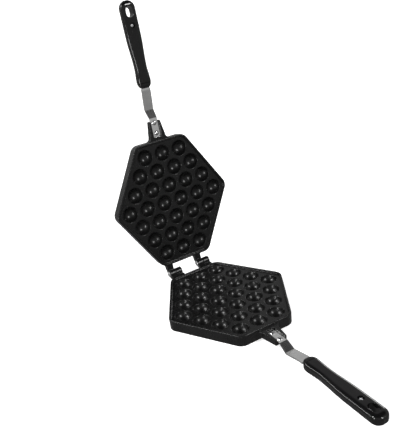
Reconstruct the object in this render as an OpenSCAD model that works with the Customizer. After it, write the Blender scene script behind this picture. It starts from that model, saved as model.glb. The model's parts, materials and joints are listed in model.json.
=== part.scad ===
// Egg waffle pan for a stove: two hinged castings with ball-shaped cavities, each on a riveted
// steel strap with a moulded grip. It stands open. Origin: on the table, in the middle of the
// space that the open pan takes up. +X along the hinge, +Y from the lower grip to the hinge, +Z up.

/* [Cavities] */
// Distance between the centres of neighbouring cavities
pitch = 28; // [26:0.5:32]
// Radius of a cavity where it meets the face
rim_r = 11.6; // [10:0.1:12]
// Depth of a cavity below the face
cavity_depth = 9.8; // [8:0.1:10.8]
// Bevel that softens a cavity's rim
rim_bevel = 0.7; // [0.3:0.1:1]
// Cavities in the short rows next to the hinge and the grips
short_row = 3; // [3:1:4]
// Cavities in the long middle row
long_row = 6; // [5:1:6]

/* [Castings] */
// Casting height from the closing plane to the underside
casting_h = 16; // [15.8:0.1:20]
// Depth of the cavity face below the closing plane
face_drop = 2.6; // [2:0.1:3.5]
// Thickness of the face between the cavities
web_t = 2.8; // [2.5:0.1:4]
// Wall of the domes behind the cavities
dome_t = 2.4; // [2:0.1:3]
// Distance from the outermost cavity centres to the casting's side
margin = 19.6; // [18.5:0.1:24]
// Radius of the casting's corners
corner_r = 12.5; // [8:0.5:16]
// Thickness of the wall round the casting
wall_t = 3.2; // [2.6:0.1:3.8]
// Gap between the two lips when the pan is shut
lip_gap = 0.3; // [0.2:0.1:0.6]
// Bevel round the casting's outer edges
lip_bevel = 0.8; // [0.4:0.1:0.8]

/* [Hinge] */
// Angle between the castings when the pan stands open
open_angle = 100; // [94:1:106]
// Distance from the hinge axis to the castings' walls
hinge_set = 13.4; // [12.5:0.1:14]
// Radius of a hinge lug round its pin
knuckle_r = 5.6; // [5:0.1:6.5]
// Width of one hinge lug
lug_w = 9.85; // [8:0.05:11]
// Distance from the middle of the pan to the joint between two lugs
lug_x = 24; // [20:0.5:26]
// Side clearance between two lugs
lug_gap = 0.3; // [0.2:0.05:0.5]
// Distance from the closing plane to the heel's landing on the lower casting's wall
heel_drop = 3.8; // [3:0.1:4.5]
// Gap between the heel and that wall when the pan stands open
stop_gap = 0.1; // [0.05:0.05:0.3]
// Diameter of a hinge pin
pin_d = 4.6; // [4:0.1:5.4]
// Diameter of a pin's head
pin_head_d = 8.4; // [7.4:0.1:10]
// Height of a pin's head
pin_head_h = 2; // [1.2:0.1:3]
// Diameter of a pin's spread tail
pin_tail_d = 6.9; // [6.4:0.1:8]
// Height of a pin's spread tail
pin_tail_h = 1.4; // [1:0.1:2]
// Running clearance round a pin, each side
pin_play = 0.06; // [0.03:0.01:0.1]
// Clearance of a driven or riveted shank, each side
tight_fit = 0.02; // [0.01:0.01:0.03]

/* [Neck and strap] */
// Length of the neck that carries the strap
neck_l = 28; // [24:1:34]
// Depth of the neck's and the lugs' tops below the closing plane
neck_drop = 1.2; // [1:0.1:2]
// Width of the neck in front of its fillets
neck_root_w = 24; // [22:0.5:28]
// Radius of the fillets between the neck and the casting
neck_fillet = 6.5; // [4:0.5:8]
// Width of the steel strap
strap_w = 12.4; // [10:0.2:14]
// Thickness of the steel strap
strap_t = 2; // [1.5:0.1:2.5]
// Depth of the strap's middle below the closing plane, on the neck
strap_drop = 7; // [6:0.5:8]
// Gap at each side of the strap in its channel
channel_play = 0.25; // [0.2:0.05:0.5]
// Distance from the casting to the strap's end
strap_in = 5; // [4:0.5:7]
// Width of each prong beside the channel at its tip
prong_w = 3.4; // [2.6:0.2:4]
// Thickness of the neck under the strap
neck_floor_t = 4; // [3:0.5:5]
// Height of the strap's lowest point above the castings' undersides
crank_rise = 0.6; // [0.2:0.1:3]
// Distance from the neck's tips to the crank
crank_in = 4; // [3:0.5:6]
// Length of the crank's steep stretch
crank_l = 12; // [10:0.5:16]
// Radius of the strap's bends, at the middle of the bar
bend_r = 3; // [2:0.5:4]
// Length of the bare strap behind the crank
strap_run = 26; // [22:1:40]
// Diameter of a rivet's shank
rivet_d = 4; // [3:0.1:5]
// Diameter of a rivet's head
rivet_head_d = 7; // [6:0.1:9]
// Height of a rivet's head
rivet_head_h = 1.6; // [1:0.1:2]
// Height of a rivet's flat tail
rivet_tail_h = 1.2; // [0.8:0.1:2]
// Distance from the strap's end to the inner rivet
inner_rivet_in = 5.2; // [4:0.1:6]
// Distance from the neck's tips to the outer rivet
outer_rivet_in = 2.8; // [2.5:0.1:5]

/* [Grip] */
// Length of the grip
grip_l = 122; // [110:1:140]
// Width of the grip near its end
grip_end_w = 22; // [20:0.5:25]
// Width of the grip at its waist
grip_waist_w = 17.6; // [17:0.2:20]
// Width of the grip's front bulge
grip_front_w = 20.5; // [18.5:0.5:23]
// Place of the waist, as a share of the grip's length
grip_waist_at = 0.34; // [0.28:0.01:0.45]
// Distance from the strap's last bend to the grip
grip_in = 6; // [4:0.5:10]
// Thickness of the grip
grip_t = 13; // [12:0.2:13]
// Height of the grip's underside above the castings' undersides
grip_rise = 0.1; // [0.1:0.1:1.5]
// Length of the hole for hanging the pan up
hang_l = 15; // [12:0.5:17]
// Width of that hole
hang_w = 10.5; // [8:0.5:12]
// Distance from the grip's end to the middle of that hole
hang_in = 16; // [14:0.5:18]
// Distance from the grip's end to its screw
screw_in = 34.5; // [32:0.5:40]
// Diameter of the screw's shank
screw_d = 4; // [3:0.1:5]
// Diameter of the screw's head
screw_head_d = 7.4; // [6.5:0.1:8]
// Height of the screw's head
screw_head_h = 2.2; // [1.5:0.1:2.6]
// Depth of the screw's head below the grip's face
screw_sink = 1.2; // [0.8:0.1:1.4]
// Length and width of the slots that cross in the screw's head
screw_slot_l = 4; // [3:0.1:5]
screw_slot_w = 0.9; // [0.6:0.1:1.2]
// Thickness of the grip under the screw's hole
grip_floor_t = 2; // [1.5:0.1:3]
// Distance from the screw to the end of the strap's tang
tang_in = 5.5; // [4.5:0.1:6]
// Clearance round the strap's tang and the screw in the grip
grip_play = 0.15; // [0.1:0.05:0.3]

/* [Hidden] */
$fn = 48;

// Cavity grid: rows parallel to the hinge, growing to the long row and shrinking again
row_step = pitch * sqrt(3) / 2;
grow = long_row - short_row;
rows = 2 * grow + 1;
grid_l = (rows - 1) * row_step;
function row_count(i) = long_row - abs(i - grow);

// Sphere that makes the cavities, and its centre below the closing plane
ball_r = (rim_r * rim_r + cavity_depth * cavity_depth) / (2 * cavity_depth);
ball_z = -face_drop - cavity_depth + ball_r;
dome_r = ball_r + dome_t;
rim_foot_r = sqrt(pow(ball_r, 2) - pow(ball_z + face_drop + rim_bevel, 2));

// Outline of the casting
hex_x = [(long_row - 1) * pitch / 2, (short_row - 1) * pitch / 2];
hinge_to_row = hinge_set + margin;
near_y = -hinge_set;
far_y = -hinge_to_row - grid_l - margin;
mid_y = -hinge_to_row - grid_l / 2;
corner_steps = 8;

// Strap and grip, measured from the hinge axis towards the grips
strap_y = far_y - strap_in;
neck_y = far_y - neck_l;
crank_y = neck_y - crank_in;
foot_y = crank_y - crank_l;
tang_y = foot_y - strap_run;
grip_y = tang_y - grip_in;
end_y = grip_y - grip_l;
hang_y = end_y + hang_in;
screw_y = end_y + screw_in;
tang_end_y = screw_y - tang_in;
inner_rivet_y = strap_y - inner_rivet_in;
outer_rivet_y = neck_y + outer_rivet_in;
channel_w = strap_w + 2 * channel_play;
strap_top = -strap_drop + strap_t / 2;
strap_bottom = -strap_drop - strap_t / 2;
neck_bottom = strap_bottom - neck_floor_t;
crank_drop = casting_h - crank_rise - strap_t / 2;
grip_drop = casting_h - grip_rise - grip_t / 2;
grip_top = -grip_drop + grip_t / 2;
grip_bottom = -grip_drop - grip_t / 2;
screw_seat = grip_top - screw_sink - screw_head_h;
overlap = 1;

// Middle of the standing pan's length, measured from the hinge axis
reach_back = end_y * cos(open_angle) + (casting_h - grip_rise) * sin(open_angle);
stand_y = (end_y + reach_back) / 2;

satin_black = [0.13, 0.13, 0.14];
bright_steel = [0.78, 0.79, 0.8];
gloss_black = [0.05, 0.05, 0.06];

// Places of the two halves: the upper one is the same casting turned over and swung open
module lower_half() {
    translate([0, -stand_y, casting_h]) children();
}

module upper_half() {
    lower_half() rotate([-open_angle, 0, 0]) rotate([0, 180, 0]) children();
}

module at_cavities() {
    for (i = [0 : rows - 1])
        for (k = [0 : row_count(i) - 1])
            translate([(k - (row_count(i) - 1) / 2) * pitch, -hinge_to_row - i * row_step, 0])
                children();
}

// Six-sided outline at a distance from the outermost cavity centres, with round corners
function corner(i) =
    i == 0 ? [hex_x[0], mid_y] :
    i == 1 ? [hex_x[1], -hinge_to_row] :
    i == 2 ? [-hex_x[1], -hinge_to_row] :
    i == 3 ? [-hex_x[0], mid_y] :
    i == 4 ? [-hex_x[1], -hinge_to_row - grid_l] :
    [hex_x[1], -hinge_to_row - grid_l];

function outline_points(off, r) = [
    for (i = [0 : 5])
        for (s = [0 : corner_steps])
            let (turn = 60 * i - 30 + 60 * s / corner_steps)
                corner(i) + (off - r) / cos(30) * [cos(60 * i), sin(60 * i)]
                    + r * [cos(turn), sin(turn)]
];

// A slab of that outline between two heights
module slab(inset, low, high) {
    translate([0, 0, low])
        linear_extrude(high - low)
            polygon(outline_points(margin - inset, max(corner_r - inset, 2)));
}

module wall() {
    difference() {
        hull() {
            slab(lip_bevel, -casting_h, -lip_gap / 2);
            slab(0, -casting_h + lip_bevel, -lip_gap / 2 - lip_bevel);
        }
        slab(wall_t, -casting_h - overlap, -face_drop - web_t);
        slab(wall_t, -face_drop, overlap);
    }
}

module domes() {
    at_cavities()
        intersection() {
            translate([0, 0, ball_z]) sphere(dome_r);
            translate([0, 0, -casting_h]) cylinder(r = pitch, h = casting_h - face_drop - web_t / 2);
        }
}

function arc(centre, r, from, to) = [
    for (k = [0 : corner_steps])
        let (turn = from + (to - from) * k / corner_steps)
            centre + r * [cos(turn), sin(turn)]
];
function mirrored(points) = [for (k = [len(points) - 1 : -1 : 0]) [-points[k][0], points[k][1]]];

// Neck: a root that flares into the casting and splits into two prongs beside the strap's channel
module neck() {
    tip_r = prong_w / 2;
    fillet_x = neck_root_w / 2 + neck_fillet;
    flank = concat(
        [[fillet_x, far_y + wall_t / 2]],
        arc([fillet_x, far_y - neck_fillet], neck_fillet, 90, 180),
        arc([channel_w / 2 + tip_r, neck_y + tip_r], tip_r, 0, -90)
    );
    translate([0, 0, neck_bottom])
        linear_extrude(-neck_drop - neck_bottom) polygon(concat(flank, mirrored(flank)));
}

module channel() {
    translate([-channel_w / 2, neck_y - overlap, strap_bottom])
        cube([channel_w, strap_y + channel_play - neck_y + overlap, casting_h]);
}

// Side view of a hinge lug: an arm from the wall, a knuckle round the pin and, on the upper
// casting, a heel that lands on the lower casting's wall when the pan stands open
arm_h = 11;
arm_turn = 62;
root_turn = 25;
heel_turn = 85;
table_gap = 0.3;
heel_end = sqrt(pow(casting_h - table_gap, 2) - pow(hinge_set, 2));
wall_u = [-cos(open_angle), sin(open_angle)];
wall_w = [sin(open_angle), cos(open_angle)];
function on_wall(depth) = (hinge_set - stop_gap) * wall_u + depth * wall_w;

module lug_profile(heel) {
    circle(knuckle_r);
    polygon([
        [near_y - wall_t / 2, -neck_drop], [near_y, -neck_drop],
        knuckle_r * [-cos(arm_turn), sin(arm_turn)], [0, 0],
        knuckle_r * [sin(root_turn), -cos(root_turn)],
        [near_y, -neck_drop - arm_h], [near_y - wall_t / 2, -neck_drop - arm_h]
    ]);
    if (heel)
        polygon([
            [0, 0], knuckle_r * [-cos(heel_turn), sin(heel_turn)],
            on_wall(heel_drop), on_wall(heel_end), [knuckle_r, 0]
        ]);
}

// A lug fills one side of its joint, so that the turned casting's lug fills the other
module lug(low_x, bore, heel) {
    difference() {
        translate([low_x, 0, 0]) rotate([90, 0, 90]) linear_extrude(lug_w) lug_profile(heel);
        translate([low_x - overlap, 0, 0]) rotate([0, 90, 0]) cylinder(d = bore, h = lug_w + 2 * overlap);
    }
}

module casting(bore, heel) {
    color(satin_black)
        difference() {
            union() {
                wall();
                domes();
                neck();
                lug(-lug_x + lug_gap / 2, bore, heel);
                lug(lug_x + lug_gap / 2, bore, heel);
            }
            at_cavities() {
                translate([0, 0, ball_z]) sphere(ball_r);
                translate([0, 0, -face_drop - rim_bevel])
                    cylinder(r1 = rim_foot_r, r2 = 2 * (rim_r + rim_bevel) - rim_foot_r, h = 2 * rim_bevel);
            }
            channel();
            for (y = [inner_rivet_y, outer_rivet_y])
                translate([0, y, neck_bottom - overlap])
                    cylinder(d = rivet_d + 2 * tight_fit, h = casting_h);
        }
}

// Side view of the strap: flat on the neck, cranked away from the other half, then the tang
strap_line = [
    [strap_y, -strap_drop], [crank_y, -strap_drop], [foot_y, -crank_drop],
    [tang_y, -grip_drop], [tang_end_y, -grip_drop]
];
bend_steps = 5;

function unit(v) = v / norm(v);
function side(v) = [-v[1], v[0]];
function turned(v, a) = [v[0] * cos(a) - v[1] * sin(a), v[0] * sin(a) + v[1] * cos(a)];

// Arc round a corner of the line, on the bar's face at a distance d to the line's left
function bend(line, i, d) =
    let (
        before = unit(line[i] - line[i - 1]),
        after = unit(line[i + 1] - line[i]),
        turn = asin(cross(before, after)),
        way = sign(turn),
        centre = line[i] + way * bend_r / cos(turn / 2) * side(unit(before + after))
    )
    [for (k = [0 : bend_steps]) centre - (way * bend_r - d) * side(turned(before, turn * k / bend_steps))];

function face(line, d) = concat(
    [line[0] + d * side(unit(line[1] - line[0]))],
    [for (i = [1 : len(line) - 2]) each bend(line, i, d)],
    [line[len(line) - 1] + d * side(unit(line[len(line) - 1] - line[len(line) - 2]))]
);
function backwards(points) = [for (k = [len(points) - 1 : -1 : 0]) points[k]];

module strap() {
    color(bright_steel)
        difference() {
            translate([-strap_w / 2, 0, 0]) rotate([90, 0, 90]) linear_extrude(strap_w)
                polygon(concat(face(strap_line, strap_t / 2), backwards(face(strap_line, -strap_t / 2))));
            for (y = [inner_rivet_y, outer_rivet_y])
                translate([0, y, -casting_h]) cylinder(d = rivet_d + 2 * tight_fit, h = casting_h);
            translate([0, screw_y, -casting_h - overlap])
                cylinder(d = screw_d + 2 * tight_fit, h = casting_h);
        }
}

// Round head with a domed top, standing on z = 0
module round_head(d, h) {
    r = (d * d / 4 + h * h) / (2 * h);
    intersection() {
        translate([0, 0, h - r]) sphere(r);
        translate([-d, -d, 0]) cube([2 * d, 2 * d, h + overlap]);
    }
}

module rivet(y) {
    color(bright_steel) translate([0, y, 0]) {
        translate([0, 0, strap_top]) round_head(rivet_head_d, rivet_head_h);
        translate([0, 0, neck_bottom - rivet_tail_h / 2])
            cylinder(d = rivet_d, h = strap_top - neck_bottom + rivet_tail_h / 2 + rivet_head_h / 2);
        translate([0, 0, neck_bottom - rivet_tail_h]) cylinder(d = rivet_head_d - 1, h = rivet_tail_h);
    }
}

// Grip: its width and thickness along its length, as a loft of soft-cornered sections
grip_steps = 30;
section_points = 28;
section_power = 0.62;
bulge_l = 12;
widening_l = 0.42 * grip_l;
grip_sag = 0.05;
grip_waist = grip_waist_at * grip_l;

function smooth(t) = t * t * (3 - 2 * t);
function blend(a, b, t) = a + (b - a) * smooth(min(max(t, 0), 1));

// Share of the full size at s from a rounded end, where reach is the rounding's length and flat
// the share of it that is left out at the very end
function cap(s, reach, flat) = sqrt(1 - pow((1 - flat) * (1 - min(max(s / reach, 0), 1)), 2));

// s runs along the grip from its front, in millimetres
function grip_w(s) =
    (s < grip_waist
        ? blend(grip_front_w, grip_waist_w, (s - bulge_l) / (grip_waist - bulge_l))
        : blend(grip_waist_w, grip_end_w, (s - grip_waist) / widening_l))
    * cap(s, 8.5, 0.3) * cap(grip_l - s, 10, 0.05);
function grip_h(s) =
    grip_t * (1 - grip_sag * (1 - cos(360 * s / grip_l))) * cap(s, 5, 0.35) * cap(grip_l - s, 7, 0.1);
function grip_s(i) = grip_l * (1 - cos(180 * i / grip_steps)) / 2;
function soft(c) = sign(c) * pow(abs(c), section_power);

function section(s) = [
    for (k = [0 : section_points - 1])
        let (turn = 360 * k / section_points)
            [grip_w(s) / 2 * soft(cos(turn)), grip_y - s, -grip_drop + grip_h(s) / 2 * soft(sin(turn))]
];

module grip_body() {
    last = grip_steps * section_points;
    polyhedron(
        points = [for (i = [0 : grip_steps]) each section(grip_s(i))],
        faces = concat(
            [[for (k = [0 : section_points - 1]) k]],
            [for (i = [0 : grip_steps - 1])
                for (k = [0 : section_points - 1])
                    let (a = i * section_points + k, b = i * section_points + (k + 1) % section_points)
                        [a, a + section_points, b + section_points, b]],
            [[for (k = [section_points - 1 : -1 : 0]) last + k]]
        )
    );
}

module grip() {
    slot_w = strap_w + 2 * grip_play;
    slot_t = strap_t + 2 * grip_play;
    color(gloss_black)
        difference() {
            grip_body();
            translate([-slot_w / 2, tang_end_y - grip_play, -grip_drop - slot_t / 2])
                cube([slot_w, grip_y + overlap - tang_end_y + grip_play, slot_t]);
            for (dy = [-1, 1])
                translate([0, hang_y + dy * (hang_l - hang_w) / 2, -casting_h - grip_t])
                    cylinder(d = hang_w, h = casting_h + grip_t);
            translate([-hang_w / 2, hang_y - (hang_l - hang_w) / 2, -casting_h - grip_t])
                cube([hang_w, hang_l - hang_w, casting_h + grip_t]);
            translate([0, screw_y, screw_seat])
                cylinder(d = screw_head_d + 2 * grip_play, h = grip_t);
            translate([0, screw_y, grip_bottom + grip_floor_t])
                cylinder(d = screw_d + 2 * tight_fit, h = grip_t);
        }
}

module grip_screw() {
    foot = grip_bottom + grip_floor_t + 2 * grip_play;
    color(bright_steel) translate([0, screw_y, 0])
        difference() {
            union() {
                translate([0, 0, screw_seat]) round_head(screw_head_d, screw_head_h);
                translate([0, 0, foot]) cylinder(d = screw_d, h = screw_seat + screw_head_h / 4 - foot);
            }
            for (turn = [0, 90])
                translate([0, 0, screw_seat + screw_head_h]) rotate(turn)
                    cube([screw_slot_l, screw_slot_w, screw_head_h], center = true);
        }
}

// Hinge pin: its head turns against the upper half's lug, its tail is spread on the lower one's
module hinge_pin(upper_face, lower_face) {
    head_x = upper_face - lug_gap;
    sunk = pin_tail_h / 4;
    color(bright_steel) rotate([0, 90, 0]) {
        translate([0, 0, head_x]) mirror([0, 0, 1]) round_head(pin_head_d, pin_head_h);
        translate([0, 0, head_x - sunk]) cylinder(d = pin_d, h = lower_face - head_x + 2 * sunk);
        translate([0, 0, lower_face]) round_head(pin_tail_d, pin_tail_h);
    }
}

upper_bore = pin_d + 2 * pin_play;
lower_bore = pin_d + 2 * tight_fit;
lug_near = lug_x - lug_gap / 2 - lug_w;
lug_far = lug_x + lug_gap / 2 + lug_w;

lower_half() casting(lower_bore, false);  // lower_casting
upper_half() casting(upper_bore, true);  // upper_casting
lower_half() strap();  // lower_strap
upper_half() strap();  // upper_strap
lower_half() rivet(inner_rivet_y);  // lower_inner_rivet
lower_half() rivet(outer_rivet_y);  // lower_outer_rivet
upper_half() rivet(inner_rivet_y);  // upper_inner_rivet
upper_half() rivet(outer_rivet_y);  // upper_outer_rivet
lower_half() grip();  // lower_grip
upper_half() grip();  // upper_grip
lower_half() grip_screw();  // lower_grip_screw
upper_half() grip_screw();  // upper_grip_screw
lower_half() hinge_pin(-lug_far, -lug_near);  // left_hinge_pin
lower_half() hinge_pin(lug_near, lug_far);  // right_hinge_pin
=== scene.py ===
import json
from math import acos, cos, pi, radians, sin, sqrt, tan

import bmesh
import bpy
from mathutils import Matrix, Vector


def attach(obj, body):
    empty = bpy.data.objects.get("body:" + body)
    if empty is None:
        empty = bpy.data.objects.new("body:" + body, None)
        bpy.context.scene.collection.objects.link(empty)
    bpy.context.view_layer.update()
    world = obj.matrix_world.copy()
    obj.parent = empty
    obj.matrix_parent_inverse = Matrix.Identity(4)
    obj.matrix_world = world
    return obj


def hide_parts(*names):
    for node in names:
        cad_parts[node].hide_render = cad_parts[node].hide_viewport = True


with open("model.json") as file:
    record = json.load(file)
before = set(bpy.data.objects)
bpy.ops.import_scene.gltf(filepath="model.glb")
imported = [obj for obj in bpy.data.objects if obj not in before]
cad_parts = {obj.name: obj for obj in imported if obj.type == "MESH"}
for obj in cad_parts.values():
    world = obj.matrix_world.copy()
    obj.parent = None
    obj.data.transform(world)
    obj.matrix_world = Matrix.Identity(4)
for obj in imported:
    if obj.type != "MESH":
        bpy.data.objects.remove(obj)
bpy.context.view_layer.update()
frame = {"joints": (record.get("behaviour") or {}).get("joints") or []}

# Castings: two aluminium plates from one mould, with a raised lip round thirty ball-shaped
# cavities, domes behind them, and a black non-stick coat over all. The upper one is turned over
# and hangs on the lower one's hinge.

# Each half is shaped in millimetres from the hinge axis, with the closing plane at zero, its
# outside down and its grip towards -Y.
MM = 0.001
fold = frame["joints"][0]
HINGE = Matrix.Translation(fold["pos_m"])
OPEN = Matrix.Rotation(-radians(fold["range_deg"][1]), 4, "X")
TURNED_OVER = Matrix.Rotation(pi, 4, "Y")
HALVES = {
    "lower": HINGE @ Matrix.Scale(MM, 4),
    "upper": HINGE @ OPEN @ TURNED_OVER @ Matrix.Scale(MM, 4),
}

PITCH = 28
ROW_STEP = PITCH * sqrt(3) / 2
ROWS = (3, 4, 5, 6, 5, 4, 3)
WALL_SET = 13.4
MARGIN = 19.6
FIRST_ROW = -WALL_SET - MARGIN
LAST_ROW = FIRST_ROW - (len(ROWS) - 1) * ROW_STEP
MIDDLE = (FIRST_ROW + LAST_ROW) / 2
FAR_WALL = LAST_ROW - MARGIN
CORNER_RADIUS = 12.5
CASTING_HEIGHT = 16
LIP_GAP = 0.15
LIP_EDGE, LIP_FLAT, LIP_INNER, FACE_FILLET = 1.1, 1.3, 0.8, 1.1
FOOT_EDGE, FOOT_FLAT, FOOT_INNER, WEB_FILLET = 0.8, 1.3, 0.6, 1.2
LIP_BAND = 0.1
DRAFTS = {"lip": 0.15, "outside": 0.4, "inside": 0.3}
FACE_DROP = 2.6
WEB = 2.8
RIM_RADIUS = 11.6
CAVITY_DEPTH = 9.8
RIM_ROUND = 0.9
DOME_WALL = 2.4
BALL_RADIUS = (RIM_RADIUS**2 + CAVITY_DEPTH**2) / (2 * CAVITY_DEPTH)
BALL_Z = -FACE_DROP - CAVITY_DEPTH + BALL_RADIUS
LATHE_STEPS = 44
CORNER_STEPS = 14
LEVEL_TOLERANCE = 0.01
UP, DOWN, IN = (0, 1), (0, -1), (1, 0)


def quarter(radius, start, end, count=5):
    """Steps of a quarter round that sets off along start and ends along end."""
    turns = [pi / 2 * k / count for k in range(count + 1)]
    spots = [[radius * (sin(t) * a + (1 - cos(t)) * b) for a, b in zip(start, end)] for t in turns]
    return [(q[0] - p[0], q[1] - p[1]) for p, q in zip(spots, spots[1:])]


def pull(bm, faces, by, keep=True):
    """Pulls faces along a vector, with walls behind them, and gives the faces back."""
    made = bmesh.ops.extrude_face_region(bm, geom=faces, use_keep_orig=keep)["geom"]
    moved = [g for g in made if isinstance(g, bmesh.types.BMVert)]
    bmesh.ops.translate(bm, verts=moved, vec=by)
    return [g for g in made if isinstance(g, bmesh.types.BMFace)]


def walk(bm, face, steps):
    """Draws a face inward and up or down, step by step, and leaves the wall behind it."""
    for inward, rise in steps:
        bmesh.ops.inset_region(bm, faces=[face], thickness=inward, use_even_offset=True)
        bmesh.ops.translate(bm, verts=face.verts, vec=(0, 0, rise))


def turned(section, y=0, steps=LATHE_STEPS):
    """Turns a section of (radius, height) points about an upright line."""
    bm = bmesh.new()
    points = [bm.verts.new((r, y, z)) for r, z in section]
    edges = [bm.edges.new(pair) for pair in zip(points, points[1:])]
    bmesh.ops.spin(
        bm, geom=points + edges, cent=(0, y, 0), axis=(0, 0, 1), angle=2 * pi, steps=steps,
        use_merge=True
    )
    bmesh.ops.remove_doubles(bm, verts=bm.verts[:], dist=0.001)
    return bm


def join(bm, part, places=((0, 0),)):
    """Adds a part to a shape, once at each place, and lets go of the part."""
    mesh = bpy.data.meshes.new("part")
    part.to_mesh(mesh)
    part.free()
    for x, y in places:
        start = len(bm.verts)
        bm.from_mesh(mesh)
        bm.verts.ensure_lookup_table()
        bmesh.ops.translate(bm, verts=bm.verts[start:], vec=(x, y, 0))
    bpy.data.meshes.remove(mesh)


def ball_section(radius, rim, level, count=11):
    """From a point on the ball at the given radius and level down to the bottom."""
    start = acos((BALL_Z - level) / radius)
    turns = [start * (1 - k / count) for k in range(count + 1)]
    return rim + [(radius * sin(t), BALL_Z - radius * cos(t)) for t in turns]


def rounded_rim():
    """The rim's fillet, from the face to the ball."""
    reach = BALL_RADIUS + RIM_ROUND
    drop = BALL_Z + FACE_DROP + RIM_ROUND
    middle = sqrt(reach**2 - drop**2)
    turn = acos(drop / reach)
    steps = [turn * k / 5 for k in range(5)]
    return [
        (middle - RIM_ROUND * sin(t), -FACE_DROP - RIM_ROUND + RIM_ROUND * cos(t)) for t in steps
    ], -FACE_DROP - RIM_ROUND + RIM_ROUND * drop / reach


def cavity_places():
    return [
        ((k - (count - 1) / 2) * PITCH, FIRST_ROW - i * ROW_STEP)
        for i, count in enumerate(ROWS) for k in range(count)
    ]


def fill_level(bm, level):
    """Closes the flat between the open edges that lie at one level."""
    edges = [
        e for e in bm.edges
        if len(e.link_faces) == 1 and all(abs(v.co.z - level) < LEVEL_TOLERANCE for v in e.verts)
    ]
    bmesh.ops.triangle_fill(bm, use_beauty=True, edges=edges, normal=(0, 0, 1))


def plate(bm):
    """Wall, lip, foot, cavities and domes."""
    widest = -LIP_GAP - LIP_EDGE - LIP_BAND
    half_long, half_short = (max(ROWS) - 1) * PITCH / 2, (min(ROWS) - 1) * PITCH / 2
    tilt = radians(30)
    side, corner = MARGIN / cos(tilt), MARGIN * tan(tilt)
    outline = [
        (half_long + side, MIDDLE),
        (half_short + corner, -WALL_SET),
        (-half_short - corner, -WALL_SET),
        (-half_long - side, MIDDLE),
        (-half_short - corner, FAR_WALL),
        (half_short + corner, FAR_WALL),
    ]
    foot = bm.faces.new([bm.verts.new((x, y, widest)) for x, y in outline])
    bmesh.ops.bevel(
        bm, geom=bm.verts[:], offset=CORNER_RADIUS * tan(tilt), offset_type="OFFSET",
        affect="VERTICES", segments=CORNER_STEPS, profile=0.5, material=-1
    )
    bm.faces.ensure_lookup_table()
    foot = bm.faces[0]
    top, = pull(bm, [foot], (0, 0, LIP_BAND))
    lip_drop = FACE_DROP - LIP_GAP - LIP_INNER - FACE_FILLET
    lip_steps = quarter(LIP_EDGE, UP, IN) + [(LIP_FLAT, 0)] + quarter(LIP_INNER, IN, DOWN)
    walk(bm, top, lip_steps + [(DRAFTS["lip"], -lip_drop)] + quarter(FACE_FILLET, DOWN, IN))
    foot_drop = CASTING_HEIGHT + widest - FOOT_EDGE
    web_rise = CASTING_HEIGHT - FACE_DROP - WEB - FOOT_INNER - WEB_FILLET
    foot_steps = [(DRAFTS["outside"], -foot_drop)] + quarter(FOOT_EDGE, DOWN, IN)
    foot_steps += [(FOOT_FLAT, 0)] + quarter(FOOT_INNER, IN, UP) + [(DRAFTS["inside"], web_rise)]
    walk(bm, foot, foot_steps + quarter(WEB_FILLET, UP, IN))
    bmesh.ops.delete(bm, geom=[top, foot], context="FACES_ONLY")
    rim, ball_start = rounded_rim()
    join(bm, turned(ball_section(BALL_RADIUS, rim, ball_start)), cavity_places())
    dome = ball_section(BALL_RADIUS + DOME_WALL, [], -FACE_DROP - WEB, 9)
    join(bm, turned(dome), cavity_places())
    bmesh.ops.remove_doubles(bm, verts=bm.verts[:], dist=0.002)
    fill_level(bm, -FACE_DROP)
    fill_level(bm, -FACE_DROP - WEB)


NECK_LENGTH, NECK_ROOT, NECK_FILLET = 28, 24, 6.5
NECK_TOP, NECK_BOTTOM = -3, -12
STRAP_NOSE, STRAP_WIDTH, STRAP_THICK, STRAP_DROP = 11.8, 14.4, 2, 7
STRAP_START = FAR_WALL - 5
STRAP_PLAY = 0.25
CHANNEL = STRAP_NOSE / 2 + STRAP_PLAY
CHANNEL_END = STRAP_START + STRAP_PLAY
PRONG = 2.6
SUNK = 1.6
NECK_TIP = FAR_WALL - NECK_LENGTH


def arc(x, y, radius, start, end, count=8):
    turns = [radians(start + (end - start) * k / count) for k in range(count + 1)]
    return [(x + radius * cos(t), y + radius * sin(t)) for t in turns]


def cut_along(bm, point, normal):
    geom = bm.verts[:] + bm.edges[:] + bm.faces[:]
    bmesh.ops.bisect_plane(bm, geom=geom, dist=0.001, plane_co=point, plane_no=normal)


def neck(bm):
    """Two prongs beside the strap's channel, flaring into the wall."""
    tip_round, wing = PRONG / 2, NECK_ROOT / 2 + NECK_FILLET
    flank = [(wing, FAR_WALL + SUNK)] + arc(wing, FAR_WALL - NECK_FILLET, NECK_FILLET, 90, 180)
    flank += arc(CHANNEL + tip_round, NECK_TIP + tip_round, tip_round, 0, -90)
    outline = flank + [(-x, y) for x, y in reversed(flank)]
    base = bmesh.new()
    base.faces.new([base.verts.new((x, y, NECK_BOTTOM)) for x, y in outline])
    for x in (-CHANNEL, CHANNEL):
        cut_along(base, (x, 0, 0), (1, 0, 0))
    cut_along(base, (0, CHANNEL_END, 0), (0, 1, 0))
    channel_floor = -STRAP_DROP - STRAP_THICK / 2
    raised = pull(base, base.faces[:], (0, 0, channel_floor - NECK_BOTTOM))
    middles = {face: face.calc_center_median() for face in raised}
    prongs = [f for f, spot in middles.items() if abs(spot.x) > CHANNEL or spot.y > CHANNEL_END]
    pull(base, prongs, (0, 0, NECK_TOP - channel_floor), keep=False)
    bmesh.ops.dissolve_limit(
        base, angle_limit=radians(1), verts=base.verts[:], edges=base.edges[:]
    )
    bmesh.ops.recalc_face_normals(base, faces=base.faces[:])
    soften(base, 0.9, 3, 25)
    join(bm, base)


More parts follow.
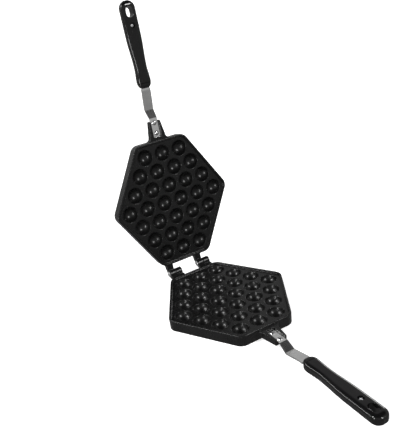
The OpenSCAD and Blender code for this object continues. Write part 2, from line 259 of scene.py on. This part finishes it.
def soften(bm, width, segments, from_angle, keep=lambda edge: True):
    """Rounds every edge sharper than an angle."""
    edges = [
        e for e in bm.edges
        if len(e.link_faces) == 2 and e.calc_face_angle() > radians(from_angle) and keep(e)
    ]
    bmesh.ops.bevel(
        bm, geom=edges, offset=width, offset_type="OFFSET", affect="EDGES", segments=segments,
        profile=0.5, material=-1, clamp_overlap=True
    )


LUG_WIDTH, LUG_JOINT, LUG_GAP = 9.85, 24, 0.3
LUG_TOP, LUG_BOTTOM = -1.2, -12
KNUCKLE = 5.6
PIN_RADIUS = 2.3
BORE_STEPS = 32
BORE_PLAY = {"lower": 0.02, "upper": 0.06}
HEEL_DROP, STOP_GAP, TABLE_GAP = 3.8, 0.1, 0.3
HEEL_END = sqrt((CASTING_HEIGHT - TABLE_GAP) ** 2 - WALL_SET**2)


def on_wall(depth):
    """A point on the other casting's wall when the pan stands open."""
    turn = radians(fold["range_deg"][1])
    reach = WALL_SET - STOP_GAP
    return -reach * cos(turn) + depth * sin(turn), reach * sin(turn) + depth * cos(turn)


def lug(bm, left, heel, bore):
    """Arm, knuckle and, on the upper casting, the heel that stops it."""
    part = bmesh.new()
    if heel:
        outline = arc(0, 0, KNUCKLE, -65, 0, 6) + [on_wall(HEEL_END), on_wall(HEEL_DROP)]
        outline += arc(0, 0, KNUCKLE, 95, 192, 10)
    else:
        outline = arc(0, 0, KNUCKLE, -65, 192, 24)
    sunk, foot = -WALL_SET - SUNK, -WALL_SET + 0.5
    root = [(sunk, LUG_TOP), (sunk, LUG_BOTTOM), (foot, LUG_BOTTOM)]
    rim = [part.verts.new((left, y, z)) for y, z in outline + root]
    edges = [part.edges.new(pair) for pair in zip(rim, rim[1:] + rim[:1])]
    turn = Matrix.Translation((left, 0, 0)) @ Matrix.Rotation(pi / 2, 4, "Y")
    hole = bmesh.ops.create_circle(part, segments=BORE_STEPS, radius=bore, matrix=turn)["verts"]
    hole_edges = [e for e in part.edges if e.verts[0] in hole and e.verts[1] in hole]
    bmesh.ops.triangle_fill(part, use_beauty=True, edges=edges + hole_edges, normal=(1, 0, 0))
    pull(part, part.faces[:], (LUG_WIDTH, 0, 0))
    bmesh.ops.recalc_face_normals(part, faces=part.faces[:])
    bmesh.ops.dissolve_limit(
        part, angle_limit=radians(1), verts=part.verts[:], edges=part.edges[:]
    )
    off_bore = PIN_RADIUS + 1
    soften(part, 0.6, 3, 40, lambda e: all(v.co.yz.length > off_bore for v in e.verts))
    join(bm, part)


def node_material(name):
    material = bpy.data.materials.new(name)
    material.use_nodes = True
    tree = material.node_tree
    return material, tree.nodes, tree.links, tree.nodes["Principled BSDF"]


def grain(nodes, links, scale, detail, stretch=(1, 1, 1)):
    """Noise on object coordinates, in metres."""
    place = nodes.new("ShaderNodeTexCoord")
    mapping = nodes.new("ShaderNodeMapping")
    mapping.inputs["Scale"].default_value = stretch
    noise = nodes.new("ShaderNodeTexNoise")
    noise.inputs["Scale"].default_value = scale
    noise.inputs["Detail"].default_value = detail
    links.new(place.outputs["Object"], mapping.inputs["Vector"])
    links.new(mapping.outputs["Vector"], noise.inputs["Vector"])
    return noise.outputs["Fac"]


NOISE_LOW, NOISE_HIGH = 0.3, 0.7


def spread(nodes, links, value, low, high):
    """Carries noise onto a range of values."""
    ramp = nodes.new("ShaderNodeMapRange")
    ramp.inputs["From Min"].default_value = NOISE_LOW
    ramp.inputs["From Max"].default_value = NOISE_HIGH
    ramp.inputs["To Min"].default_value = low
    ramp.inputs["To Max"].default_value = high
    links.new(value, ramp.inputs["Value"])
    return ramp.outputs["Result"]


def bump(nodes, links, height, distance, strength, shader):
    node = nodes.new("ShaderNodeBump")
    node.inputs["Distance"].default_value = distance
    node.inputs["Strength"].default_value = strength
    links.new(height, node.inputs["Height"])
    links.new(node.outputs["Normal"], shader.inputs["Normal"])


def tint(nodes, links, noise, dark, pale, shader):
    """Base colour that wanders between two near shades."""
    mix = nodes.new("ShaderNodeMix")
    mix.data_type = "RGBA"
    mix.inputs["A"].default_value = (*dark, 1)
    mix.inputs["B"].default_value = (*pale, 1)
    links.new(spread(nodes, links, noise, 0, 1), mix.inputs["Factor"])
    links.new(mix.outputs["Result"], shader.inputs["Base Color"])


def gloss(nodes, links, noise, low, high, shader):
    """Roughness that wanders between two values."""
    links.new(spread(nodes, links, noise, low, high), shader.inputs["Roughness"])


COAT_DARK, COAT_PALE = (0.0035, 0.0035, 0.0035), (0.0055, 0.0055, 0.0055)
COAT_ROUGHNESS = (0.24, 0.32)
COAT_IOR = 1.34
ORANGE_PEEL = 1100


def coating():
    """Sprayed non-stick coat: near black, satin, with a fine orange peel."""
    material, nodes, links, shader = node_material("nonstick_coat")
    tint(nodes, links, grain(nodes, links, 60, 3), COAT_DARK, COAT_PALE, shader)
    gloss(nodes, links, grain(nodes, links, 220, 2), *COAT_ROUGHNESS, shader)
    shader.inputs["IOR"].default_value = COAT_IOR
    bump(nodes, links, grain(nodes, links, ORANGE_PEEL, 2), 0.0002, 0.08, shader)
    return material


def finish(bm, name, half, material, nodes, crease=32):
    """Puts a half's piece in its place in the frame and on its body."""
    bmesh.ops.remove_doubles(bm, verts=bm.verts[:], dist=0.0005)
    bmesh.ops.recalc_face_normals(bm, faces=bm.faces[:])
    bmesh.ops.transform(bm, matrix=HALVES[half], verts=bm.verts[:])
    for face in bm.faces:
        face.smooth = True
    for edge in bm.edges:
        edge.smooth = edge.calc_face_angle(0) < radians(crease)
    mesh = bpy.data.meshes.new(name)
    bm.to_mesh(mesh)
    bm.free()
    mesh.materials.append(material)
    piece = bpy.data.objects.new(name, mesh)
    bpy.context.scene.collection.objects.link(piece)
    shading = piece.modifiers.new("flat_faces_stay_flat", "WEIGHTED_NORMAL")
    shading.keep_sharp = True
    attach(piece, half + "_half")
    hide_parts(*nodes)


coat = coating()
for half in HALVES:
    body = bmesh.new()
    plate(body)
    neck(body)
    bore = PIN_RADIUS + BORE_PLAY[half]
    for left in (-LUG_JOINT + LUG_GAP / 2, LUG_JOINT + LUG_GAP / 2):
        lug(body, left, half == "upper", bore)
    finish(body, half + "_cast_plate", half, coat, [half + "_casting"])

# Straps: flat bars of bright steel, cut to length and cranked in a press, which lie in the
# necks' channels and run on into the grips as tangs.
CRANK = (NECK_TIP - 4, NECK_TIP - 16)
STRAP_RUN = 26
CRANK_DROP = CASTING_HEIGHT - 0.6 - STRAP_THICK / 2
GRIP_LENGTH, GRIP_THICK = 122, 13
GRIP_DROP = CASTING_HEIGHT - 0.1 - GRIP_THICK / 2
TANG_START = CRANK[1] - STRAP_RUN
GRIP_START = TANG_START - 6
GRIP_END = GRIP_START - GRIP_LENGTH
SCREW_Y = GRIP_END + 34.5
TANG_END = SCREW_Y - 5.5
TANG_WIDTH = 9.6
FLARE_START, FLARE_END = CRANK[0] + 3, CRANK[1] - 5
SHOULDER, SHOULDER_EDGE = GRIP_START + 0.4, 0.1


def half_width(y):
    """The bar widens along the crank and steps in where it enters the grip."""
    if y < SHOULDER:
        return TANG_WIDTH / 2
    share = min(max((FLARE_START - y) / (FLARE_START - FLARE_END), 0), 1)
    return (STRAP_NOSE + (STRAP_WIDTH - STRAP_NOSE) * share) / 2


def face_line(line, side):
    """One face of a bar whose middle follows a line: half its thickness to a side."""
    runs = [(b - a).normalized() for a, b in zip(line, line[1:])]
    spots = []
    for i, spot in enumerate(line):
        before, after = runs[max(i - 1, 0)], runs[min(i, len(runs) - 1)]
        mean = (before + after).normalized()
        across = Vector((-mean.y, mean.x)) * side * STRAP_THICK / 2 / mean.dot(before)
        spots.append(spot + across)
    return spots


def strap():
    bm = bmesh.new()
    line = [
        Vector((STRAP_START, -STRAP_DROP)),
        Vector((CRANK[0], -STRAP_DROP)),
        Vector((CRANK[1], -CRANK_DROP)),
        Vector((TANG_START, -GRIP_DROP)),
        Vector((TANG_END, -GRIP_DROP)),
    ]
    outline = face_line(line, 1) + face_line(line, -1)[::-1]
    side = bm.faces.new([bm.verts.new((-STRAP_WIDTH / 2, y, z)) for y, z in outline])
    pull(bm, [side], (STRAP_WIDTH, 0, 0))
    bmesh.ops.recalc_face_normals(bm, faces=bm.faces[:])
    for y in (FLARE_START, FLARE_END, SHOULDER + SHOULDER_EDGE, SHOULDER - SHOULDER_EDGE):
        cut_along(bm, (0, y, 0), (0, 1, 0))
    for vertex in bm.verts:
        vertex.co.x = half_width(vertex.co.y) * (1 if vertex.co.x > 0 else -1)
    soften(bm, 0.3, 2, 60)
    return bm


STEEL_DARK, STEEL_PALE = (0.62, 0.62, 0.62), (0.76, 0.76, 0.75)
STEEL_ROUGHNESS = (0.13, 0.22)
ROLLING_STREAKS = (3, 0.06, 0.06)


def rolled_steel():
    """Bright rolled steel with the rolling grain along the bar."""
    material, nodes, links, shader = node_material("rolled_steel")
    shader.inputs["Metallic"].default_value = 1
    tint(nodes, links, grain(nodes, links, 45, 3), STEEL_DARK, STEEL_PALE, shader)
    streaks = grain(nodes, links, 900, 2, ROLLING_STREAKS)
    gloss(nodes, links, streaks, *STEEL_ROUGHNESS, shader)
    bump(nodes, links, streaks, 0.0001, 0.12, shader)
    return material


steel = rolled_steel()
for half in HALVES:
    finish(strap(), half + "_strap_bar", half, steel, [half + "_strap"], crease=20)

# Rivets: four steel rivets, set through strap and neck, with a low domed head above and a
# flat set tail below.
RIVET_RADIUS, RIVET_HEAD, RIVET_HEIGHT = 2, 3.5, 1.6
TAIL_RADIUS, TAIL_HEIGHT, TAIL_BEVEL = 3, 1.2, 0.3
INNER_RIVET = STRAP_START - 5.2
OUTER_RIVET = NECK_TIP + 2.8


def domed(radius, height, base, count=6):
    """A low dome standing on a level, from its top to its edge."""
    ball = (radius**2 + height**2) / (2 * height)
    turn = acos((ball - height) / ball)
    turns = [turn * k / count for k in range(count + 1)]
    return [(ball * sin(t), base + height - ball + ball * cos(t)) for t in turns]


def rivet(y):
    strap_top = -STRAP_DROP + STRAP_THICK / 2
    tail = NECK_BOTTOM - TAIL_HEIGHT
    section = domed(RIVET_HEAD, RIVET_HEIGHT, strap_top) + [
        (RIVET_RADIUS, strap_top), (RIVET_RADIUS, NECK_BOTTOM), (TAIL_RADIUS, NECK_BOTTOM),
        (TAIL_RADIUS, tail + TAIL_BEVEL), (TAIL_RADIUS - TAIL_BEVEL, tail), (0, tail)
    ]
    return turned(section, y)


BRIGHT_DARK, BRIGHT_PALE = (0.62, 0.62, 0.63), (0.74, 0.74, 0.74)
BRIGHT_ROUGHNESS = (0.16, 0.28)


def polished_steel():
    """Bright turned steel, faintly ringed."""
    material, nodes, links, shader = node_material("polished_steel")
    shader.inputs["Metallic"].default_value = 1
    tint(nodes, links, grain(nodes, links, 160, 2), BRIGHT_DARK, BRIGHT_PALE, shader)
    gloss(nodes, links, grain(nodes, links, 500, 2), *BRIGHT_ROUGHNESS, shader)
    bump(nodes, links, grain(nodes, links, 1500, 2), 0.0001, 0.08, shader)
    return material


bright = polished_steel()
for half in HALVES:
    for place, y in (("inner", INNER_RIVET), ("outer", OUTER_RIVET)):
        name = f"{half}_{place}_rivet"
        finish(rivet(y), name + "_set", half, bright, [name])

# Hinge pins: two short steel pins, headed at the left, driven into the lower casting's lugs and
# spread at the right, on which the upper casting's lugs turn.
PIN_HEAD, PIN_HEAD_HEIGHT = 4.2, 2
PIN_TAIL, PIN_TAIL_HEIGHT = 3.45, 1.4


def hinge_pin(head_face, tail_face):
    """Turned upright, head up, and then laid down with its head to the left."""
    head = domed(PIN_HEAD, PIN_HEAD_HEIGHT, head_face)
    shank = [(PIN_RADIUS, head_face), (PIN_RADIUS, -tail_face)]
    tail = [(r, -z) for r, z in domed(PIN_TAIL, PIN_TAIL_HEIGHT, tail_face)]
    bm = turned(head + shank + tail[::-1])
    laid = Matrix.Rotation(-pi / 2, 3, "Y")
    bmesh.ops.rotate(bm, verts=bm.verts[:], cent=(0, 0, 0), matrix=laid)
    return bm


lug_near = LUG_JOINT - LUG_GAP / 2 - LUG_WIDTH
lug_far = LUG_JOINT + LUG_GAP / 2 + LUG_WIDTH
for name, left_end, right_end in (("left", lug_far, -lug_near), ("right", -lug_near, lug_far)):
    pin = hinge_pin(left_end + LUG_GAP, right_end)
    finish(pin, name + "_headed_pin", "lower", bright, [name + "_hinge_pin"])

# Grips: glossy black thermoset, moulded with a waist, a bulge at the front, an oval hole at the
# end for hanging the pan up and a round recess for the screw that holds the tang.
GRIP_WIDTHS = {"front": 20, "waist": 17.5, "end": 22}
BULGE, WAIST_AT, WIDENING = 9, 0.24, 0.36
SWELL = 0.05
FRONT_ROUND, END_ROUND = (10, 0.15), (11, 0.03)
FRONT_SLOPE, END_SLOPE = (5, 0.35), (7, 0.1)
HANG_LENGTH, HANG_WIDTH = 15, 10.5
HANG_Y = GRIP_END + 16
SCREW_RADIUS, SCREW_HEAD, SCREW_HEAD_HEIGHT, SCREW_SINK = 2, 3.7, 2.2, 1.2
GRIP_PLAY = 0.15
GRIP_STATIONS = 56
GRIP_CORNER = 0.3
GRIP_CORNER_STEPS, GRIP_FLAT_STEPS = 9, 6
CLEAR = 5


def smooth(t):
    t = min(max(t, 0), 1)
    return t * t * (3 - 2 * t)


def cap(s, reach, flat):
    """Share of the full size at a distance from a round end."""
    return sqrt(1 - ((1 - flat) * (1 - min(s / reach, 1))) ** 2)


def grip_width(s):
    waist = WAIST_AT * GRIP_LENGTH
    front, thin, end = GRIP_WIDTHS.values()
    if s < waist:
        width = front + (thin - front) * smooth((s - BULGE) / (waist - BULGE))
    else:
        width = thin + (end - thin) * smooth((s - waist) / (WIDENING * GRIP_LENGTH))
    return width * cap(s, *FRONT_ROUND) * cap(GRIP_LENGTH - s, *END_ROUND)


def grip_height(s):
    swell = 1 - SWELL + SWELL * cos(2 * pi * s / GRIP_LENGTH)
    return GRIP_THICK * swell * cap(s, *FRONT_SLOPE) * cap(GRIP_LENGTH - s, *END_SLOPE)


def loose(shape, name):
    """Makes a shape an object for a while."""
    mesh = bpy.data.meshes.new(name)
    shape.to_mesh(mesh)
    shape.free()
    thing = bpy.data.objects.new(name, mesh)
    bpy.context.scene.collection.objects.link(thing)
    return thing


def cut_out(bm, cutters):
    """Takes the cutters' space out of a closed shape."""
    block = loose(bm, "block")
    tools = [loose(cutter, "tool") for cutter in cutters]
    for tool in tools:
        step = block.modifiers.new("cut", "BOOLEAN")
        step.operation = "DIFFERENCE"
        step.solver = "EXACT"
        step.object = tool
    bpy.context.view_layer.update()
    shown = block.evaluated_get(bpy.context.evaluated_depsgraph_get())
    result = bpy.data.meshes.new_from_object(shown)
    for thing in [block] + tools:
        mesh = thing.data
        bpy.data.objects.remove(thing)
        bpy.data.meshes.remove(mesh)
    cut = bmesh.new()
    cut.from_mesh(result)
    bpy.data.meshes.remove(result)
    return cut


def prism(outline, low, high):
    bm = bmesh.new()
    face = bm.faces.new([bm.verts.new((x, y, low)) for x, y in outline])
    pull(bm, [face], (0, 0, high - low))
    bmesh.ops.recalc_face_normals(bm, faces=bm.faces[:])
    return bm


def box(half_x, near, far, low, high):
    return prism([(-half_x, near), (half_x, near), (half_x, far), (-half_x, far)], low, high)


def oval(width, length, y, count=16):
    """Outline with round ends, lengthwise along Y."""
    turns = [pi * k / count for k in range(count + 1)]
    far = [(width / 2 * cos(t), y + (length - width) / 2 + width / 2 * sin(t)) for t in turns]
    return far + [(-x, 2 * y - v) for x, v in far]


def round_square():
    """Square of side one with wide round corners, in even steps."""
    flat, steps = 0.5 - GRIP_CORNER, GRIP_FLAT_STEPS
    side = arc(flat, flat, GRIP_CORNER, 0, 90, GRIP_CORNER_STEPS)
    side += [(flat - 2 * flat * k / steps, 0.5) for k in range(1, steps)]
    outline = []
    for _ in range(4):
        outline += side
        side = [(-y, x) for x, y in side]
    return outline


def grip():
    """Drawn out section by section from the front, then cut for hole, recess and tang."""
    bm = bmesh.new()
    face = bm.faces.new([bm.verts.new((x, y, 0)) for x, y in round_square()])
    upright = Matrix.Rotation(pi / 2, 3, "X")
    bmesh.ops.rotate(bm, verts=bm.verts[:], cent=(0, 0, 0), matrix=upright)
    bmesh.ops.translate(bm, verts=bm.verts[:], vec=(0, GRIP_START, -GRIP_DROP))
    width, height, s = 1, 1, 0
    for i in range(GRIP_STATIONS + 1):
        at = GRIP_LENGTH * (1 - cos(pi * i / GRIP_STATIONS)) / 2
        if i:
            face, = pull(bm, [face], (0, 0, 0), keep=i == 1)
        middle = Matrix.Translation((0, -GRIP_START + s, GRIP_DROP))
        new_width, new_height = grip_width(at), grip_height(at)
        growth = (new_width / width, 1, new_height / height)
        bmesh.ops.scale(bm, verts=face.verts, vec=growth, space=middle)
        bmesh.ops.translate(bm, verts=face.verts, vec=(0, s - at, 0))
        width, height, s = new_width, new_height, at
    bmesh.ops.recalc_face_normals(bm, faces=bm.faces[:])
    top = -GRIP_DROP + GRIP_THICK / 2
    slot_x, slot_z = TANG_WIDTH / 2 + GRIP_PLAY, STRAP_THICK / 2 + GRIP_PLAY
    recess = 2 * (SCREW_HEAD + GRIP_PLAY)
    seat = top - SCREW_HEAD_HEIGHT - SCREW_SINK
    return cut_out(bm, [
        prism(oval(HANG_WIDTH, HANG_LENGTH, HANG_Y), -CASTING_HEIGHT - CLEAR, CLEAR),
        box(slot_x, TANG_END - GRIP_PLAY, GRIP_START + 1, -GRIP_DROP - slot_z, -GRIP_DROP + slot_z),
        prism(oval(recess, recess, SCREW_Y), seat, CLEAR),
    ])


PLASTIC_DARK, PLASTIC_PALE = (0.0032, 0.0032, 0.0032), (0.005, 0.005, 0.005)
PLASTIC_ROUGHNESS = (0.07, 0.12)
PLASTIC_IOR = 1.36


def thermoset():
    """Glossy moulded plastic with a faint flow in its surface."""
    material, nodes, links, shader = node_material("moulded_thermoset")
    tint(nodes, links, grain(nodes, links, 40, 2), PLASTIC_DARK, PLASTIC_PALE, shader)
    gloss(nodes, links, grain(nodes, links, 120, 3), *PLASTIC_ROUGHNESS, shader)
    shader.inputs["IOR"].default_value = PLASTIC_IOR
    bump(nodes, links, grain(nodes, links, 90, 1), 0.0006, 0.06, shader)
    return material


plastic = thermoset()
for half in HALVES:
    name = half + "_moulded_grip"
    finish(grip(), name, half, plastic, [half + "_grip"], crease=65)

# Grip screws: bright pan-head screws with a cross slot, sunk in the grips' recesses, which go
# through the tangs.
SLOT_LENGTH, SLOT_WIDTH, SLOT_DEPTH = 4, 0.9, 1.2
SCREW_FLOOR = 2.3


def grip_screw():
    seat = -GRIP_DROP + GRIP_THICK / 2 - SCREW_HEAD_HEIGHT - SCREW_SINK
    foot = -GRIP_DROP - GRIP_THICK / 2 + SCREW_FLOOR
    shank = [(SCREW_RADIUS, seat), (SCREW_RADIUS, foot), (0, foot)]
    bm = turned(domed(SCREW_HEAD, SCREW_HEAD_HEIGHT, seat, 8) + shank, SCREW_Y)
    bmesh.ops.recalc_face_normals(bm, faces=bm.faces[:])
    low, high = seat + SCREW_HEAD_HEIGHT - SLOT_DEPTH, seat + SCREW_HEAD_HEIGHT + 1
    long, thin = SLOT_LENGTH / 2, SLOT_WIDTH / 2
    return cut_out(bm, [
        box(x, SCREW_Y - y, SCREW_Y + y, low, high) for x, y in ((long, thin), (thin, long))
    ])


for half in HALVES:
    name = half + "_sunk_screw"
    finish(grip_screw(), name, half, bright, [half + "_grip_screw"])

# Studio: a wide pale floor, soft lamps at the front right and at the left, a strip and two
# panels that draw lines of light on the gloss, and a pale room under a darker ceiling.
FLOOR_REACH = 12
FLOOR_COLOUR, FLOOR_ROUGHNESS = (0.9, 0.9, 0.9, 1), 0.9
WHITE = (1, 1, 1, 1)
LAMPS = {"front_lamp": ((0.37, -0.72, 0.60), 1.6), "left_lamp": ((-0.70, 0.15, 0.70), 1.6)}
LAMP_ANGLE = 12
GLOSS_LAMPS = {
    "long_strip": ((-1.16, 0.94, 1.08), (0, -0.3, 0), (1.2, 0.08), 10),
    "left_panel": ((-1.0, -0.55, 0.2), (0, 0.2, 0.3), (0.12, 0.6), 9),
    "right_panel": ((1.05, 0.5, 0.18), (0, 0, 0.1), (0.3, 0.3), 1.5),
}
WALL_LIGHT, CEILING_LIGHT = 0.5, 0.03
CEILING_START, CEILING_END = 0.68, 0.84
FLOOR_IN_GLOSS = 0.3
FLOOR_LIFT = 0.62


def pale_floor():
    material, nodes, links, shader = node_material("pale_floor")
    shader.inputs["Base Color"].default_value = FLOOR_COLOUR
    shader.inputs["Roughness"].default_value = FLOOR_ROUGHNESS
    shader.inputs["Specular IOR Level"].default_value = 0
    shader.inputs["Emission Color"].default_value = WHITE
    seen = nodes.new("ShaderNodeLightPath")
    lift = nodes.new("ShaderNodeMath")
    lift.operation = "MULTIPLY"
    lift.inputs[1].default_value = FLOOR_LIFT
    links.new(seen.outputs["Is Camera Ray"], lift.inputs[0])
    links.new(lift.outputs["Value"], shader.inputs["Emission Strength"])
    mirrored = nodes.new("ShaderNodeEmission")
    mirrored.inputs["Strength"].default_value = FLOOR_IN_GLOSS
    choice = nodes.new("ShaderNodeMixShader")
    links.new(seen.outputs["Is Glossy Ray"], choice.inputs["Fac"])
    links.new(shader.outputs["BSDF"], choice.inputs[1])
    links.new(mirrored.outputs["Emission"], choice.inputs[2])
    links.new(choice.outputs["Shader"], nodes["Material Output"].inputs["Surface"])
    return material


def floor():
    bm = bmesh.new()
    bmesh.ops.create_grid(bm, x_segments=1, y_segments=1, size=FLOOR_REACH)
    mesh = bpy.data.meshes.new("floor")
    bm.to_mesh(mesh)
    bm.free()
    mesh.materials.append(pale_floor())
    plane = bpy.data.objects.new("floor", mesh)
    bpy.context.scene.collection.objects.link(plane)


def lamp(name, from_side, strength):
    data = bpy.data.lights.new(name, "SUN")
    data.energy = strength
    data.angle = radians(LAMP_ANGLE)
    light = bpy.data.objects.new(name, data)
    light.rotation_euler = Vector(from_side).to_track_quat("Z", "Y").to_euler()
    bpy.context.scene.collection.objects.link(light)


def gloss_lamp(name, place, aim, size, power):
    """A strip or panel, which draws a line of light on a grip."""
    data = bpy.data.lights.new(name, "AREA")
    data.shape = "RECTANGLE"
    data.size, data.size_y = size
    data.energy = power
    light = bpy.data.objects.new(name, data)
    light.location = place
    away = Vector(place) - Vector(aim)
    light.rotation_euler = away.to_track_quat("Z", "Y").to_euler()
    bpy.context.scene.collection.objects.link(light)


def room():
    world = bpy.data.worlds.new("room")
    world.use_nodes = True
    nodes, links = world.node_tree.nodes, world.node_tree.links
    light = nodes["Background"]
    light.inputs["Color"].default_value = WHITE
    place = nodes.new("ShaderNodeTexCoord")
    split = nodes.new("ShaderNodeSeparateXYZ")
    links.new(place.outputs["Generated"], split.inputs["Vector"])
    height = nodes.new("ShaderNodeMapRange")
    height.interpolation_type = "SMOOTHSTEP"
    height.inputs["From Min"].default_value = CEILING_START
    height.inputs["From Max"].default_value = CEILING_END
    height.inputs["To Min"].default_value = WALL_LIGHT
    height.inputs["To Max"].default_value = CEILING_LIGHT
    links.new(split.outputs["Z"], height.inputs["Value"])
    seen = nodes.new("ShaderNodeLightPath")
    pick = nodes.new("ShaderNodeMix")
    pick.data_type = "FLOAT"
    pick.inputs["B"].default_value = 1
    links.new(height.outputs["Result"], pick.inputs["A"])
    links.new(seen.outputs["Is Camera Ray"], pick.inputs["Factor"])
    links.new(pick.outputs["Result"], light.inputs["Strength"])
    bpy.context.scene.world = world


floor()
room()
for name, setting in GLOSS_LAMPS.items():
    gloss_lamp(name, *setting)
for name, (from_side, strength) in LAMPS.items():
    lamp(name, from_side, strength)

# Camera: in front of the lower grip, to its left and above, as the photograph was taken.
CAMERA_FROM_HINGE = (-371.2, -762.3, 472.3)
CAMERA_TURN = (66.91, 7.62, -29.32)
FOCAL_PIXELS = 637
PICTURE_HEIGHT = 432
SENSOR = 36
SHIFT = (0.046, -0.043)

data = bpy.data.cameras.new("camera")
data.sensor_width = SENSOR
data.lens = FOCAL_PIXELS * SENSOR / PICTURE_HEIGHT
data.shift_x, data.shift_y = SHIFT
camera = bpy.data.objects.new("camera", data)
camera.location = HINGE @ (Vector(CAMERA_FROM_HINGE) * MM)
camera.rotation_euler = [radians(a) for a in CAMERA_TURN]
bpy.context.scene.collection.objects.link(camera)
bpy.context.scene.camera = camera
bpy.context.scene.view_settings.view_transform = "Standard"
